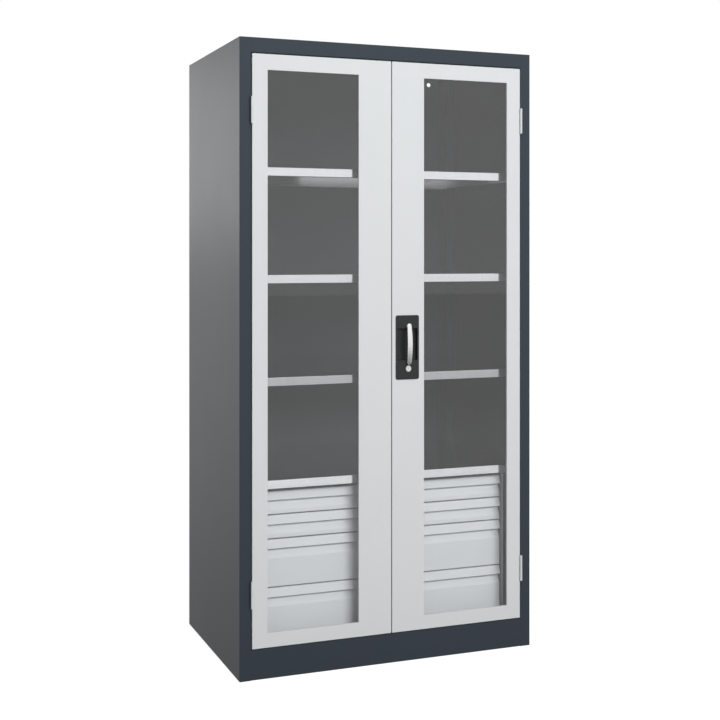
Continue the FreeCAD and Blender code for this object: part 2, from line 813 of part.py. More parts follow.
def bow_section(share):
    """An oval across the lever at a share of its length, 0 at the lower end and 1 at the upper."""
    length = (lever_z + size.lever_over - lever_low).number()
    rise = size.lever_bow.number()
    radius = length * length / (8 * rise) + rise / 2
    half_angle = math.asin(length / 2 / radius)
    angle = half_angle * (2 * share - 1)
    seat = (plate_front - size.lever_slack - size.bow_thickness / 2).number()
    middle = lever_low.number() + length / 2
    y = seat - (radius * math.cos(angle) - (radius - rise))
    z = middle + radius * math.sin(angle)
    swell = 1 - (2 * share - 1) ** 2
    end_width = size.bow_end_width.number()
    width = end_width + (size.bow_mid_width.number() - end_width) * swell
    thickness = size.bow_thickness.number()
    centre = FreeCAD.Vector(lever_x.number(), y, z)
    across = FreeCAD.Vector(1, 0, 0)
    forward = FreeCAD.Vector(0, -math.cos(angle), math.sin(angle))
    oval = Part.Ellipse(centre + across * (width / 2), centre + forward * (thickness / 2), centre)
    return Part.Wire([oval.toShape()])


def lever():
    sections = [bow_section(index / (BOW_STATIONS - 1)) for index in range(BOW_STATIONS)]
    arm = doc.addObject("Part::Feature", "arm")
    arm.Shape = Part.makeLoft(sections, True)
    seat = plate_front - size.lever_slack
    foot_front = seat - size.bow_thickness / 2
    hub = along_y(lever_x, foot_front, seat, lever_z, size.lever_over)
    foot_radius = size.bow_end_width / 2
    foot_z = lever_low + foot_radius
    foot = along_y(lever_x, foot_front, seat, foot_z, foot_radius)
    keep("lever_arm", fuse(arm, hub, foot))
    keep("lever_spindle", along_y(lever_x, seat, cam_front, lever_z, size.spindle_radius))
    wheel_radius = size.crank_radius + size.crank_pin_radius + size.cam_rim
    wheel = along_y(lever_x, cam_front, cam_back, lever_z, wheel_radius)
    pin_end = rod_front + size.rod_plate + size.rod_plate_gap
    pins = [
        along_y(
            lever_x + side * crank_side,
            cam_front,
            pin_end,
            lever_z - side * crank_side,
            size.crank_pin_radius,
        )
        for side in (1, -1)
    ]
    keep("lever_crank", fuse(wheel, *pins))


def locking_rod(side, tip):
    """A round rod with a slotted plate for its crank pin; side 1 is the upper rod and -1 the lower."""
    x = lever_x + side * rod_side
    pin_z = lever_z - side * crank_side
    near = pin_z - side * size.rod_plate_edge
    far = near + side * size.rod_plate_length
    low, high = (near, far) if side > 0 else (far, near)
    half = rod_side - size.rod_spacing / 2
    plate = box((x - half, rod_front, low), (x + half, rod_front + size.rod_plate, high))
    start = far - side * half
    rod_low, rod_high = (start, tip) if side > 0 else (tip, start)
    stem = along_z(x, rod_y, rod_low, rod_high, size.rod_radius)
    slot_half = size.crank_pin_radius + size.crank_slack
    slot_reach = rod_side - crank_side + slot_half
    slot = box(
        (x - slot_reach, rod_front - BEYOND, pin_z - slot_half),
        (x + slot_reach, rod_front + size.rod_plate + BEYOND, pin_z + slot_half),
    )
    return cut(fuse(plate, stem), slot)


def rod_guide(x, z):
    half = size.guide_width / 2
    low = z - size.guide_height / 2
    high = z + size.guide_height / 2
    block = box((x - half, door_skin, low), (x + half, rod_y + size.guide_wall, high))
    return cut(block, along_z(x, rod_y, low - BEYOND, high + BEYOND, size.rod_radius + size.running_slack))


def rods():
    upper_x = lever_x + rod_side
    lower_x = lever_x - rod_side
    keep("upper_rod", locking_rod(1, door_high - size.rod_retreat))
    keep("lower_rod", locking_rod(-1, door_low + size.rod_retreat))
    guides = [
        rod_guide(upper_x, plate_high + size.guide_margin),
        rod_guide(upper_x, door_high - size.guide_far),
        rod_guide(lower_x, size.plate_low - size.guide_margin),
        rod_guide(lower_x, door_low + size.guide_far),
    ]
    keep("rod_guides", group(guides))


def key_lock():
    face = plate_front - size.key_proud
    back = plate_front + size.housing_length
    sleeve = along_y(lever_x, plate_front, back, key_z, size.housing_radius)
    bore_radius = size.key_core_radius + size.running_slack
    bore = along_y(lever_x, plate_front - BEYOND, back + BEYOND, key_z, bore_radius)
    keep("lock_housing", cut(sleeve, bore))
    head_back = plate_front - size.washer_slack
    head = along_y(lever_x, face, head_back, key_z, size.key_radius)
    core_end = back + size.washer_slack
    core = along_y(lever_x, face, core_end, key_z, size.key_core_radius)
    half_width = size.key_slot_width / 2
    half_length = size.key_slot_length / 2
    slot = box(
        (lever_x - half_width, face - BEYOND, key_z - half_length),
        (lever_x + half_width, face + size.key_slot_depth, key_z + half_length),
    )
    keep("key_plug", cut(fuse(head, core), slot))
    tongue = box(
        (lever_x - size.tongue_width / 2, core_end, key_z + size.tongue_head - size.tongue_length),
        (lever_x + size.tongue_width / 2, core_end + size.tongue_sheet, key_z + size.tongue_head),
    )
    keep("lock_tongue", tongue)


carcass()
shelves()
drawers()
doors()
handle_plate()
lever()
rods()
key_lock()
doc.recompute()

for item in doc.Objects:
    if "Invalid" in item.State or "Error" in item.State:
        raise RuntimeError(f"{item.Name} ({item.Label}) failed: {item.State}")
for label, solid in nodes:
    if solid.Shape.isNull() or not solid.Shape.isValid() or not solid.Shape.Solids:
        raise RuntimeError(f"{label} has no valid solid")

os.makedirs("parts", exist_ok=True)
for label, solid in nodes:
    solid.Shape.exportStep(f"parts/{label}.step")
print(len(nodes), "nodes written")
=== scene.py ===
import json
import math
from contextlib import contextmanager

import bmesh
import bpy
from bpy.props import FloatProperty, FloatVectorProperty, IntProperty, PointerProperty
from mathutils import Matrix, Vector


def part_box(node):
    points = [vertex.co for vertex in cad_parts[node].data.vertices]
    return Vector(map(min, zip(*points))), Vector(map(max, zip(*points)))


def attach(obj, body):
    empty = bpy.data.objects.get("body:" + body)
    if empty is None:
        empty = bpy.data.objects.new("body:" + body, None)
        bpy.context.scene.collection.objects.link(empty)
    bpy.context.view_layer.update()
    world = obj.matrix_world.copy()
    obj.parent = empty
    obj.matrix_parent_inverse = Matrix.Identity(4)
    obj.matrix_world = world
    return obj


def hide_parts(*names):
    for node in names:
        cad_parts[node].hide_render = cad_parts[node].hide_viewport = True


bl_info = {
    "name": "Storage cabinet",
    "version": (1, 0, 0),
    "blender": (4, 5, 0),
    "location": "View3D > Sidebar > Cabinet",
    "description": "Dresses a steel storage cabinet: folded sheet, handle, finishes and studio",
    "category": "Object",
}

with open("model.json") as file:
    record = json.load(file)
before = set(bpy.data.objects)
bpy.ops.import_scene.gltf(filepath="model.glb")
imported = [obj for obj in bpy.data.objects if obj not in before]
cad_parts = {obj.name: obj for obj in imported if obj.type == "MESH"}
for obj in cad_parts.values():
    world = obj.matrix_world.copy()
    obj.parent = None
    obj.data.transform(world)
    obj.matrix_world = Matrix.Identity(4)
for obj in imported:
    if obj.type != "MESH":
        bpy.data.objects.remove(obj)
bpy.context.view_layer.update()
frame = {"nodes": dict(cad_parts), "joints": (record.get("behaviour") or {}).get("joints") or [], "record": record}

SLOT_OF = {row["node"]: row["material_slot"] for row in frame["record"]["subparts"]}
BODIES = frame["record"]["behaviour"]["bodies"]
BODY_OF = {node: body for body, nodes in BODIES.items() for node in nodes}
JOINTS = {joint["name"]: joint for joint in frame["joints"]}
SIDES = ("left", "right")
DRAWERS = (1, 2, 3, 4)
SHELVES = (1, 2, 3, 4)
X, Y, Z = 0, 1, 2
WHITE = (1.0, 1.0, 1.0, 1.0)
# How far apart two places may be and still count as one, in metres
NEAR = 1e-5
# How far a cutting shape runs past what it cuts, in metres
PAST = 0.002
# A face looks along an axis where its normal has more than this share of it
FACING = 0.5
# Edges sharper than this are rounded
SHARP = math.radians(50)
# Edges shallower than this are shaded smooth
SMOOTH = math.radians(35)
# Radius of a locking rod's hole, as a share of the rod's thickness
ROD_HOLE = 0.75
# Radius of the lever's hub and foot, as a share of the bar's half width there
POST_SHARE = 0.9
# Breadth left at the very tip of the lever, as a share of its rounded end
BLUNT = 0.01
# Digits of a metre to which heights along the lever are rounded
RING_DIGITS = 6
# How close to such a height a vertex of its ring lies, in metres
RING_NEAR = 2e-6
# Flat rim of the key plug, as a share of its radius
PLUG_RIM_SHARE = 0.22
# Radius of the key plug's core, as a share of the lock housing's
CORE_SHARE = 0.65
# A ray whose count of bounces is below this hasn't bounced
FIRST_BOUNCE = 0.5
# Share of the floor's lift that a shelf's gloss sees through a pane
FLOOR_IN_GLOSS = 0.4
# What gloss sees from straight down (0) to straight up (1), as shares of the brightest level
HORIZON = (
    (0.25, 0.18), (0.35, 0.40), (0.415, 0.72), (0.46, 0.90),
    (0.50, 0.84), (0.56, 0.82), (0.61, 0.90), (0.72, 1.0),
)
# Each lamp's place, the point that it faces, and its breadth and height, in metres
LAMPS = {
    "key": ((0.4, -5.6, 3.1), (0.0, 0.0, 1.0), (3.0, 1.5)),
    "top": ((0.0, -2.6, 4.0), (0.0, 0.0, 0.9), (2.4, 1.4)),
    "rear": ((-2.1, 4.2, 2.0), (-0.5, 0.0, 1.3), (2.0, 1.2)),
}


def length(name, default, description):
    return FloatProperty(name=name, default=default, description=description, unit="LENGTH", precision=5)


def amount(name, default, description, unit="NONE"):
    return FloatProperty(name=name, default=default, description=description, unit=unit)


def colour(name, default, description):
    return FloatVectorProperty(
        name=name, default=default, description=description, subtype="COLOR", size=3, min=0.0, max=1.0
    )


class CabinetFolds(bpy.types.PropertyGroup):
    """Sizes of the folded sheet"""

    sheet: length("Sheet", 0.0015, "Thickness of the folded sheet")
    bend: length("Bend", 0.0022, "Outer radius of a bend")
    sheet_bend: length("Sheet bend", 0.0012, "Outer radius at the rims of walls, roof and back")
    door_bend: length("Door bend", 0.0012, "Outer radius of a door's edges")
    shelf_bend: length("Shelf bend", 0.0012, "Outer radius of a shelf's edges")
    cut_edge: length("Cut edge", 0.0003, "Rounding of a cut edge")
    pane_lap: length("Pane lap", 0.010, "Pane behind the door's skin")
    lintel_turn: length("Lintel turn", 0.009, "Stiffening edge at the back of the lintel's flange")
    plinth_return: length("Plinth return", 0.018, "Fold at the foot of the plinth")
    shelf_return: length("Shelf return", 0.020, "Fold at the foot of a shelf's front and rear edges")
    grip_lean: length("Grip lean", 0.0085, "Top of a drawer's grip behind its lip")
    grip_height: length("Grip height", 0.0272, "Leaning strip of a drawer's grip")
    lip_fall: length("Lip fall", 0.0008, "How far the underside of the lip falls towards the back")
    undercut: length("Undercut", 0.019, "Finger space behind the lip")
    slope_height: length("Slope height", 0.0295, "Slope below the lip")
    face_setback: length("Face setback", 0.0064, "Lip to the flat face of a drawer")


class CabinetHandle(bpy.types.PropertyGroup):
    """Sizes of the handle, the key plug and the hinges"""

    plate: length("Plate", 0.003, "Handle plate in front of the door")
    plate_corner: length("Plate corner", 0.006, "Corner radius of the handle plate")
    plate_rim: length("Plate rim", 0.0014, "Rounding of the plate's front edge")
    cup_margin: length("Cup margin", 0.006, "Plate beside the finger cup")
    cup_rise: length("Cup rise", 0.061, "Plate's lower edge to the finger cup")
    cup_height: length("Cup height", 0.100, "Finger cup")
    cup_depth: length("Cup depth", 0.0145, "Finger cup behind the plate's front")
    cup_floor: length("Cup floor", 0.004, "Rounding at the floor of the finger cup")
    cup_slack: length("Cup slack", 0.0018, "Finger cup's opening to the cut in the door")
    cup_rim: length("Cup rim", 0.00112, "Rounding of the finger cup's mouth")
    moulding: length("Moulding", 0.0014, "Wall of the moulded plate")
    bow_width: length("Bow width", 0.0175, "Lever at its middle")
    bow_end: length("Bow end", 0.0145, "Lever at its ends")
    bow_thickness: length("Bow thickness", 0.0100, "Lever from front to back")
    bow_rise: length("Bow rise", 0.0080, "How far the lever bows forward")
    bow_tip: length("Bow tip", 0.0046, "Rounding of the lever's ends")
    post_sunk: length("Post sunk", 0.0016, "Front of the lever's hub and foot before the axis of its ends")
    spindle_room: length("Spindle room", 0.0015, "Room round the lever's spindle in the door")
    bow_rings: IntProperty(name="Bow rings", default=24, description="Rings along the lever")
    collar: length("Collar", 0.0125, "Outer radius of the ring round the key plug")
    collar_proud: length("Collar proud", 0.0010, "Ring round the key plug in front of the plate")
    plug_gap: length("Plug gap", 0.0001, "Key plug's disc to the lock housing")
    plug_dish: length("Plug dish", 0.0005, "Depth of the dish in the key plug")
    plug_rim: length("Plug rim", 0.00042, "Rounding of the key plug's edges")
    core_sunk: length("Core sunk", 0.0005, "How far the key plug's core reaches into its disc")
    key_slot: FloatVectorProperty(
        name="Key slot", default=(0.0016, 0.0030, 0.0085), size=3, unit="LENGTH",
        description="Key slot: width, depth and length",
    )
    knuckle: length("Knuckle", 0.004, "Radius of a hinge knuckle")
    knuckle_length: length("Knuckle length", 0.0404, "Length of a hinge knuckle")
    leaf_setback: length("Leaf setback", 0.0016, "Front of a hinge leaf behind the hinge's axis")
    knuckle_rim: length("Knuckle rim", 0.0007, "Rounding of a knuckle's ends")
    foot_rim: length("Foot rim", 0.0012, "Rounding of a glide foot")


class CabinetFinishes(bpy.types.PropertyGroup):
    """Colours of the cabinet's finishes"""

    body_paint: colour("Body paint", (0.018, 0.026, 0.036), "Anthracite powder coat of the carcass")
    door_paint: colour("Door paint", (0.613, 0.630, 0.639), "Light grey powder coat of doors and drawers")
    zinc: colour("Zinc", (0.780, 0.795, 0.815), "Galvanised shelves and slides")
    plastic: colour("Plastic", (0.010, 0.0105, 0.011), "Black moulded plastic")
    silver: colour("Silver", (0.800, 0.800, 0.795), "Satin silver of the lever and the key plug")
    steel: colour("Steel", (0.560, 0.565, 0.570), "Zinc plated steel of pins and rods")
    pane: colour("Pane", (0.985, 0.990, 0.992), "Clear pane")


class CabinetStage(bpy.types.PropertyGroup):
    """Camera and studio light"""

    camera_place: FloatVectorProperty(
        name="Camera", default=(-1.549, -3.7204, 1.300), size=3, subtype="TRANSLATION", unit="LENGTH",
        description="Where the camera stands",
    )
    camera_turn: FloatProperty(
        name="Camera turn", default=math.radians(-19.99), subtype="ANGLE", unit="ROTATION",
        description="Camera's heading about the vertical",
    )
    lens: amount("Lens", 59.49, "Focal length in millimetres")
    film: amount("Film", 36.0, "Width of the camera's film in millimetres")
    shift_x: amount("Shift X", 0.0808, "Sideways shift of the view")
    shift_y: amount("Shift Y", -0.1503, "Upward shift of the view")
    view_end: length("View end", 200.0, "How far the camera sees")
    key_power: amount("Key", 284.0, "Large lamp in front, a little to the right", "POWER")
    top_power: amount("Top", 10.0, "Lamp overhead, in front", "POWER")
    rear_power: amount("Rear", 11.0, "Lamp behind the left-hand side", "POWER")
    ambient: amount("Ambient", 0.27, "Light from all round")
    gloss: amount("Gloss", 1.2, "Brightest surroundings in a glossy surface")
    floor_size: length("Floor", 60.0, "Breadth of the floor")
    floor_drop: length("Floor drop", 0.0003, "Floor below the feet")
    floor_grey: amount("Floor grey", 0.4, "Tone of the floor in the lamps' light")
    floor_glow: amount("Floor glow", 0.91, "Lift of the floor as the camera sees it")


class Wire:
    """A shader socket that takes part in ordinary arithmetic."""

    def __init__(self, finish, socket):
        self.finish = finish
        self.socket = socket

    def math(self, operation, first, second):
        return self.finish.node("ShaderNodeMath", {"operation": operation}, {0: first, 1: second})

    def __add__(self, other):
        return self.math("ADD", self, other)

    def __radd__(self, other):
        return self.math("ADD", other, self)

    def __sub__(self, other):
        return self.math("SUBTRACT", self, other)

    def __rsub__(self, other):
        return self.math("SUBTRACT", other, self)

    def __mul__(self, other):
        return self.math("MULTIPLY", self, other)

    def __rmul__(self, other):
        return self.math("MULTIPLY", other, self)

    def __lt__(self, other):
        return self.math("LESS_THAN", self, other)

    def __gt__(self, other):
        return self.math("GREATER_THAN", self, other)


class Finish:
    """A node tree under construction: a finish of the cabinet, or the studio's surroundings."""

    def __init__(self, owner):
        self.owner = owner
        owner.use_nodes = True
        self.tree = owner.node_tree
        self.tree.nodes.clear()

    def node(self, kind, settings=None, inputs=None, output=0):
        """Add a node: its settings first, then the values or links of its sockets."""
        made = self.tree.nodes.new(kind)
        for name, value in (settings or {}).items():
            if name == "stops":
                self.set_stops(made.color_ramp, value)
            else:
                setattr(made, name, value)
        for key, value in (inputs or {}).items():
            socket = self.find(made.inputs, key)
            if isinstance(value, Wire):
                self.tree.links.new(value.socket, socket)
            else:
                socket.default_value = value
        return Wire(self, self.find(made.outputs, output))

    @staticmethod
    def find(sockets, key):
        """A socket by its place, its identifier or its name."""
        if isinstance(key, int):
            return sockets[key]
        return next((socket for socket in sockets if socket.identifier == key), None) or sockets[key]

    @staticmethod
    def set_stops(ramp, stops):
        for index, (place, value) in enumerate(stops):
            stop = ramp.elements[index] if index < len(ramp.elements) else ramp.elements.new(place)
            stop.position = place
            stop.color = (value, value, value, 1.0)

    def place(self):
        return self.node("ShaderNodeTexCoord", output="Object")

    def noise(self, scale, detail=2.0, stretch=(1.0, 1.0, 1.0)):
        """Smooth noise with so many swells to a metre, drawn out along an axis by a small stretch."""
        point = self.node(
            "ShaderNodeMapping", {"vector_type": "POINT"}, {"Vector": self.place(), "Scale": stretch}
        )
        return self.node(
            "ShaderNodeTexNoise", {"noise_dimensions": "3D"},
            {"Vector": point, "Scale": scale, "Detail": detail},
        )

    def crystals(self, scale):
        """A random level for each crystal of a zinc coat."""
        cells = self.node(
            "ShaderNodeTexVoronoi", {"feature": "F1", "voronoi_dimensions": "3D"},
            {"Vector": self.place(), "Scale": scale, "Randomness": 1.0}, "Color",
        )
        return self.node("ShaderNodeSeparateColor", {"mode": "RGB"}, {"Color": cells}, "Red")

    def ramp(self, value, stops):
        return self.node("ShaderNodeValToRGB", {"stops": stops}, {"Fac": value})

    def mottle(self, share, tone, darkest, lightest):
        """A tone that a share moves from darker to lighter."""
        first, second = shade(tone, darkest), shade(tone, lightest)
        return self.node(
            "ShaderNodeMix", {"data_type": "RGBA"},
            {"Factor_Float": share, "A_Color": (*first, 1.0), "B_Color": (*second, 1.0)}, "Result_Color",
        )

    def bump(self, height, strength, distance):
        return self.node(
            "ShaderNodeBump", None, {"Height": height, "Strength": strength, "Distance": distance}, "Normal"
        )

    def surface(self, sockets):
        return self.node("ShaderNodeBsdfPrincipled", None, sockets)

    def ray(self, fact):
        """What the light path says of the ray that is being followed."""
        return self.node("ShaderNodeLightPath", output=fact)

    def white_light(self, kind, strength):
        return self.node(kind, None, {"Color": WHITE, "Strength": strength})

    def between(self, share, first, second):
        """A shader between two, by a share."""
        return self.node("ShaderNodeMixShader", None, {0: share, 1: first, 2: second})

    def close(self, shader, output="ShaderNodeOutputMaterial"):
        """Join a shader to the output, and give the material or the world that owns the tree."""
        end = self.tree.nodes.new(output)
        self.tree.links.new(shader.socket, end.inputs["Surface"])
        return self.owner


def shade(tone, share):
    """A colour made darker or lighter by a share."""
    return tuple(min(1.0, channel * share) for channel in tone)


def sway(level, reach):
    """A noise level, which lies about one half, as a shift to either side of nothing."""
    return (level - 0.5) * reach


def powder_coat(finish, tone, roughness, peel):
    """Powder coat: fine orange peel, a little cloudiness and specks of rougher grain."""
    cloud = finish.noise(scale=5.0, detail=3.0)
    peel_swell = finish.noise(scale=650.0)
    grain = finish.noise(scale=2600.0, detail=1.0)
    return finish.surface({
        "Base Color": finish.mottle(cloud, tone, darkest=0.98, lightest=1.02),
        "Roughness": roughness + sway(grain, reach=0.12) + sway(cloud, reach=0.03),
        "Normal": finish.bump(peel_swell * 0.7 + grain * 0.3, strength=peel, distance=0.00012),
        "IOR": 1.5,
    })


def body_paint(finish, tones):
    return powder_coat(finish, tones.body_paint, roughness=0.42, peel=0.10)


def door_paint(finish, tones):
    return powder_coat(finish, tones.door_paint, roughness=0.46, peel=0.10)


def galvanised(finish, tones):
    """Galvanised sheet: crystals that differ in tone and gloss, with faint rolling lines."""
    crystal = finish.crystals(scale=95.0)
    rolling = finish.noise(scale=60.0, detail=3.0, stretch=(0.06, 1.0, 1.0))
    return finish.surface({
        "Base Color": finish.mottle(crystal, tones.zinc, darkest=0.985, lightest=1.015),
        "Metallic": 1.0,
        "Roughness": 0.12 + crystal * 0.03 + sway(rolling, reach=0.03),
    })


def black_plastic(finish, tones):
    """Moulded plastic with a spark-eroded grain."""
    grain = finish.noise(scale=1500.0, detail=3.0)
    worn = finish.noise(scale=40.0)
    return finish.surface({
        "Base Color": finish.mottle(worn, tones.plastic, darkest=0.85, lightest=1.25),
        "Roughness": 0.40 + sway(grain, reach=0.16),
        "Normal": finish.bump(grain, strength=0.35, distance=0.0002),
        "IOR": 1.5,
    })


def satin_silver(finish, tones):
    """Satin plated metal with a faint blasted grain."""
    grain = finish.noise(scale=3000.0, detail=1.0)
    cloud = finish.noise(scale=30.0)
    return finish.surface({
        "Base Color": finish.mottle(cloud, tones.silver, darkest=0.95, lightest=1.04),
        "Metallic": 1.0,
        "Roughness": 0.26 + sway(grain, reach=0.08),
        "Normal": finish.bump(grain, strength=0.06, distance=0.0001),
    })


def steel(finish, tones):
    """Zinc plated steel with drawing lines along its length."""
    lines = finish.noise(scale=900.0, stretch=(1.0, 1.0, 0.03))
    cloud = finish.noise(scale=25.0)
    return finish.surface({
        "Base Color": finish.mottle(cloud, tones.steel, darkest=0.88, lightest=1.06),
        "Metallic": 1.0,
        "Roughness": 0.30 + sway(lines, reach=0.14),
        "Normal": finish.bump(lines, strength=0.08, distance=0.0001),
    })


def clear_pane(finish, tones):
    """A clear pane that lets the studio's light through to what is behind it."""
    tone = (*tones.pane, 1.0)
    smear = finish.noise(scale=7.0, detail=3.0)
    clear = finish.surface({
        "Base Color": tone,
        "Roughness": 0.005 + smear * 0.012,
        "Transmission Weight": 0.985,
        "IOR": 1.49,
    })
    open_air = finish.node("ShaderNodeBsdfTransparent", None, {"Color": tone})
    return finish.between(finish.ray("Is Shadow Ray") + finish.ray("Is Diffuse Ray"), clear, open_air)


RECIPES = {
    "body_paint": body_paint,
    "door_paint": door_paint,
    "galvanised": galvanised,
    "clear_pane": clear_pane,
    "black_plastic": black_plastic,
    "satin_silver": satin_silver,
    "steel": steel,
}


def finish_for(slot):
    """The material of a slot, made the first time that it is asked for."""
    name = f"cabinet_{slot}"
    made = bpy.data.materials.get(name)
    if made is None:
        finish = Finish(bpy.data.materials.new(name))
        made = finish.close(RECIPES[slot](finish, bpy.context.scene.cabinet_finishes))
    return made


def middle_of(node):
    low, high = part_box(node)
    return (low + high) / 2


def size_of(node):
    low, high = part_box(node)
    return high - low


def only(obj):
    """Select one object and make it active."""
    bpy.ops.object.select_all(action="DESELECT")
    obj.select_set(True)
    bpy.context.view_layer.objects.active = obj


def block(name, low, high):
    """A box between two corners, with its place in its mesh."""
    low, high = Vector(low), Vector(high)
    bpy.ops.object.select_all(action="DESELECT")
    bpy.ops.mesh.primitive_cube_add(size=1.0, location=(low + high) / 2)
    obj = bpy.context.active_object
    obj.name = name
    obj.scale = high - low
    bpy.ops.object.transform_apply(location=True, rotation=True, scale=True)
    return obj


def drum(name, start, end, radius, sides=48):
    """A cylinder between two points that lie along Y or Z, with its place in its mesh."""
    start, end = Vector(start), Vector(end)
    run = end - start
    turn = (math.pi / 2, 0.0, 0.0) if abs(run.y) > abs(run.z) else (0.0, 0.0, 0.0)
    bpy.ops.object.select_all(action="DESELECT")
    bpy.ops.mesh.primitive_cylinder_add(
        vertices=sides, radius=radius, depth=run.length, location=(start + end) / 2, rotation=turn
    )
    obj = bpy.context.active_object
    obj.name = name
    bpy.ops.object.transform_apply(location=True, rotation=True, scale=True)
    return obj


@contextmanager
def editing(obj):
    only(obj)
    bpy.ops.object.mode_set(mode="EDIT")
    bpy.ops.mesh.select_all(action="DESELECT")
    yield
    bpy.ops.object.mode_set(mode="OBJECT")


def pick_faces(obj, test):
    """Select the faces whose middle and normal pass a test."""
    bpy.ops.mesh.select_mode(type="FACE")
    bpy.ops.mesh.select_all(action="DESELECT")
    mesh = bmesh.from_edit_mesh(obj.data)
    for face in mesh.faces:
        if test(face.calc_center_median(), face.normal):
            face.select_set(True)
    bmesh.update_edit_mesh(obj.data)


def pick_edges(obj, test):
    """Select the edges whose two ends pass a test."""
    bpy.ops.mesh.select_mode(type="EDGE")
    bpy.ops.mesh.select_all(action="DESELECT")
    mesh = bmesh.from_edit_mesh(obj.data)
    for edge in mesh.edges:
        if test(edge.verts[0].co, edge.verts[1].co):
            edge.select_set(True)
    bmesh.update_edit_mesh(obj.data)


def faces_front(middle, normal):
    return normal.y < -FACING


def faces_back(middle, normal):
    return normal.y > FACING


def faces_down(middle, normal):
    return normal.z < -FACING


def inside(middle, low, high):
    return low.x < middle.x < high.x and low.z < middle.z < high.z


def both_at(first, second, axis, place):
    """True where both ends of an edge lie at a place on an axis."""
    return abs(first[axis] - place) < NEAR and abs(second[axis] - place) < NEAR


def on_rim(first, second, low, high, axes):
    """True where an edge lies on one side of a rectangle in two axes."""
    return any(both_at(first, second, axis, corner[axis]) for axis in axes for corner in (low, high))


def on_corner(first, second, low, high, axes):
    """True where an edge runs through a corner of a rectangle in two axes."""
    return all(
        any(both_at(first, second, axis, corner[axis]) for corner in (low, high)) for axis in axes
    )


def pick_opening(obj, low, high):
    """Cut the front faces along the sides of a rectangle, and select the face inside it."""
    for axis in (X, Z):
        for corner in (low, high):
            plane_at, plane_normal = [0.0, 0.0, 0.0], [0.0, 0.0, 0.0]
            plane_at[axis] = corner[axis]
            plane_normal[axis] = 1.0
            pick_faces(obj, faces_front)
            bpy.ops.mesh.bisect(plane_co=plane_at, plane_no=plane_normal)
    pick_faces(obj, lambda middle, normal: faces_front(middle, normal) and inside(middle, low, high))


def round_edges(radius, segments=3):
    bpy.ops.mesh.bevel(offset=radius, segments=segments, affect="EDGES", clamp_overlap=True)


def apply_modifier(obj, kind, **settings):
    only(obj)
    modifier = obj.modifiers.new(kind.lower(), kind)
    for name, value in settings.items():
        setattr(modifier, name, value)
    bpy.ops.object.modifier_apply(modifier=modifier.name)


def thicken(obj, wall):
    """Give a folded skin its wall, on the inside of its faces."""
    apply_modifier(obj, "SOLIDIFY", thickness=wall, offset=-1.0, use_even_offset=True)


def soften(obj, width, segments=2, angle=SHARP):
    """Round what edges are still sharp, and shade the bends smooth."""
    apply_modifier(
        obj, "BEVEL", width=width, segments=segments, limit_method="ANGLE", angle_limit=angle,
        use_clamp_overlap=True, harden_normals=False,
    )
    only(obj)
    bpy.ops.object.shade_smooth_by_angle(angle=SMOOTH)
    apply_modifier(obj, "WEIGHTED_NORMAL", weight=100, keep_sharp=True)


def combine(obj, other, operation):
    """Cut another shape out of an object, or join it on, and delete the other shape."""
    apply_modifier(obj, "BOOLEAN", operation=operation, solver="EXACT", object=other)
    bpy.data.objects.remove(other, do_unlink=True)


def drill(obj, start, end, radius):
    combine(obj, drum("drill", start, end, radius), "DIFFERENCE")


def gather(name, pieces):
    """Make one object of several that stay apart."""
    only(pieces[0])
    for piece in pieces[1:]:
        piece.select_set(True)
    bpy.ops.object.join()
    pieces[0].name = name
    return pieces[0]


def install(obj, *nodes):
    """Give a piece the finish and the body of the nodes that it stands for."""
    slot = SLOT_OF[nodes[0]]
    obj.data.materials.clear()
    obj.data.materials.append(finish_for(slot))
    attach(obj, BODY_OF[nodes[0]])
    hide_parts(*nodes)
    return obj


def folded_strip(name, x_low, x_high, profile, bend, capped=False):
    """A strip of sheet folded along a profile of (Y, Z) points between two X, its front outwards."""
    bpy.ops.object.select_all(action="DESELECT")
    bpy.ops.mesh.primitive_plane_add(size=1.0)
    obj = bpy.context.active_object
    obj.name = name
    middle = ((x_low + x_high) / 2, profile[0][0], profile[0][1])
    with editing(obj):
        # One edge of the plane is kept as the first edge of the strip
        pick_edges(obj, lambda a, b: a.y > 0 and b.y > 0)
        bpy.ops.mesh.delete(type="VERT")
        bpy.ops.mesh.select_all(action="SELECT")
        bpy.ops.transform.translate(value=(0.0, 0.5, 0.0))
        bpy.ops.transform.resize(value=(x_high - x_low, 1.0, 1.0), center_override=(0.0, 0.0, 0.0))
        bpy.ops.transform.translate(value=middle)
        for (y, z), (next_y, next_z) in zip(profile, profile[1:]):
            bpy.ops.mesh.extrude_region_move(
                TRANSFORM_OT_translate={"value": (0.0, next_y - y, next_z - z)}
            )
        if capped:
            for end in (x_low, x_high):
                pick_edges(obj, lambda a, b: both_at(a, b, X, end))
                bpy.ops.mesh.edge_face_add()
        bpy.ops.mesh.select_all(action="SELECT")
        bpy.ops.mesh.normals_make_consistent(inside=False)
        if not capped:
            turn_to_front(obj)
        folds = profile[1:-1]
        pick_edges(obj, lambda a, b: abs(a.x - b.x) > NEAR and any(
            both_at(a, b, Y, y) and both_at(a, b, Z, z) for y, z in folds
        ))
        round_edges(bend)
    return obj


def turn_to_front(obj):
    """Flip an open strip whose front face looks backwards."""
    mesh = bmesh.from_edit_mesh(obj.data)
    foremost = min(mesh.faces, key=lambda face: (face.calc_center_median().y, -abs(face.normal.y)))
    if foremost.normal.y > 0:
        bpy.ops.mesh.flip_normals()


def bent_sheet(name, node, axis, rim, folds):
    """A flat sheet in a node's place, its rim at one end of an axis bent round to meet its neighbours."""
    low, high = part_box(node)
    obj = block(name, low, high)
    with editing(obj):
        pick_edges(obj, lambda a, b: both_at(a, b, axis, rim))
        round_edges(folds.sheet_bend)
    return obj


